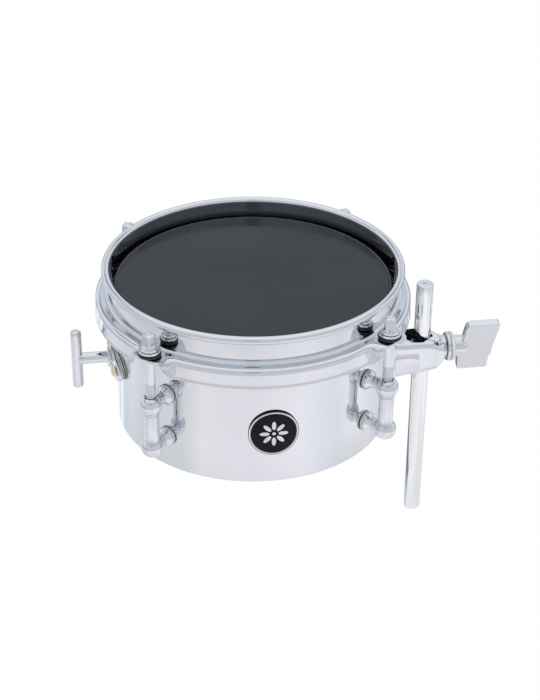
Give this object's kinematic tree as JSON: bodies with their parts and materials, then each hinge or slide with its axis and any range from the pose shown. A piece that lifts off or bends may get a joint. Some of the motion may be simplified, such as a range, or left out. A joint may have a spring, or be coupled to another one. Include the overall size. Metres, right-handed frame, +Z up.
{
  "type": "micro snare drum",
  "caption": "Chromed steel micro snare drum with a black head, tube lugs, tension rods, an inner snare throw with a T handle, and an eye bolt clamp on a mounting rod.",
  "frame": {"origin": "where the clamp bolt's axis crosses the mounting rod, in the clamp bracket", "axes": "+Z up along the mounting rod and the drum's axis, +X from the drum's axis out along the clamp bolt, -Y the side of the badge"},
  "size_m": [0.242, 0.1742, 0.173],
  "materials": {
    "chromed_steel": "polished chrome plate",
    "head_film": "black polyester film, satin",
    "plated_steel": "zinc plated, dull",
    "snare_steel": "bright steel wire",
    "black_nylon": "moulded black nylon",
    "black_enamel": "poured black enamel, glossy",
    "ivory_nylon": "moulded ivory nylon",
    "gasket": "thin cream gasket, dull",
    "flesh_hoop_aluminium": "extruded, satin",
    "brass_screw": "pale brass, polished"
  },
  "bodies": {
    "drum": {"shell": "chromed_steel", "lug_front_left": "chromed_steel", "lug_front_right": "chromed_steel", "lug_rear_left": "chromed_steel", "lug_rear_right": "chromed_steel", "lug_screw_front_left_lower": "plated_steel", "lug_screw_front_left_upper": "plated_steel", "lug_screw_front_right_lower": "plated_steel", "lug_screw_front_right_upper": "plated_steel", "lug_screw_rear_left_lower": "plated_steel", "lug_screw_rear_left_upper": "plated_steel", "lug_screw_rear_right_lower": "plated_steel", "lug_screw_rear_right_upper": "plated_steel", "strainer_plate": "chromed_steel", "strainer_gasket": "gasket", "strainer_screw_front": "brass_screw", "strainer_screw_rear": "brass_screw", "strainer_nut_front": "plated_steel", "strainer_nut_rear": "plated_steel", "shaft_bearing": "chromed_steel", "bearing_nut": "plated_steel", "shaft_end_bush": "ivory_nylon", "backing_plate": "plated_steel", "bracket_body": "chromed_steel", "bracket_gasket": "gasket", "bracket_screw_front": "plated_steel", "bracket_screw_rear": "plated_steel", "badge_rim": "chromed_steel", "badge_disc": "black_enamel", "clamp_washer": "chromed_steel", "clamp_cushion": "ivory_nylon"},
    "hoop": {"hoop": "chromed_steel", "drumhead": "head_film", "flesh_hoop": "flesh_hoop_aluminium", "rod_washer_front_left": "chromed_steel", "rod_washer_front_right": "chromed_steel", "rod_washer_rear_left": "chromed_steel", "rod_washer_rear_right": "chromed_steel", "rod_cushion_front_left": "black_nylon", "rod_cushion_front_right": "black_nylon", "rod_cushion_rear_left": "black_nylon", "rod_cushion_rear_right": "black_nylon"},
    "front_left_rod": {"tension_rod_front_left": "chromed_steel"},
    "front_right_rod": {"tension_rod_front_right": "chromed_steel"},
    "rear_left_rod": {"tension_rod_rear_left": "chromed_steel"},
    "rear_right_rod": {"tension_rod_rear_right": "chromed_steel"},
    "snare_throw": {"throw_shaft": "chromed_steel", "throw_handle_bar": "chromed_steel", "shaft_collar": "plated_steel", "cradle_arm_left": "plated_steel", "cradle_arm_right": "plated_steel", "arm_set_screw_left": "plated_steel", "arm_set_screw_right": "plated_steel", "snare_plate_screw_left": "plated_steel", "snare_plate_screw_right": "plated_steel", "snare_wires": "snare_steel"},
    "eye_bolt": {"eye_bolt": "plated_steel"},
    "wing_nut": {"wing_nut": "chromed_steel"},
    "mounting_rod": {"mounting_rod": "chromed_steel"}
  },
  "joints": [
    {"name": "hoop_lift", "type": "slide", "parent": "drum", "child": "hoop", "axis": [0, 0, 1], "range_m": [0, 0.003]},
    {"name": "front_left_rod_turn", "type": "hinge", "parent": "hoop", "child": "front_left_rod", "pos_m": [-0.16044, -0.06314, 0.05], "axis": [0, 0, 1], "range_deg": [0, 1021]},
    {"name": "front_right_rod_turn", "type": "hinge", "parent": "hoop", "child": "front_right_rod", "pos_m": [-0.03416, -0.06314, 0.05], "axis": [0, 0, 1], "range_deg": [0, 1021]},
    {"name": "rear_left_rod_turn", "type": "hinge", "parent": "hoop", "child": "rear_left_rod", "pos_m": [-0.16044, 0.06314, 0.05], "axis": [0, 0, 1], "range_deg": [0, 1021]},
    {"name": "rear_right_rod_turn", "type": "hinge", "parent": "hoop", "child": "rear_right_rod", "pos_m": [-0.03416, 0.06314, 0.05], "axis": [0, 0, 1], "range_deg": [0, 1021]},
    {"name": "snare_throw_turn", "type": "hinge", "parent": "drum", "child": "snare_throw", "pos_m": [-0.0973, 0, 0.0092], "axis": [1, 0, 0], "range_deg": [0, 70]},
    {"name": "mounting_rod_slide", "type": "slide", "parent": "drum", "child": "mounting_rod", "axis": [0, 0, 1], "range_m": [-0.03, 0.09]},
    {"name": "wing_nut_turn", "type": "hinge", "parent": "drum", "child": "wing_nut", "pos_m": [0, 0, 0], "axis": [1, 0, 0], "range_deg": [0, 360]},
    {"name": "eye_bolt_draw", "type": "slide", "parent": "drum", "child": "eye_bolt", "axis": [1, 0, 0], "range_m": [-0.001, 0]}
  ],
  "couplings": [
    {"joint": "front_left_rod_turn", "follows": "hoop_lift", "rad_per_m": 5937.2},
    {"joint": "front_right_rod_turn", "follows": "hoop_lift", "rad_per_m": 5937.2},
    {"joint": "rear_left_rod_turn", "follows": "hoop_lift", "rad_per_m": 5937.2},
    {"joint": "rear_right_rod_turn", "follows": "hoop_lift", "rad_per_m": 5937.2},
    {"joint": "eye_bolt_draw", "follows": "wing_nut_turn", "m_per_rad": -0.00015915}
  ]
}
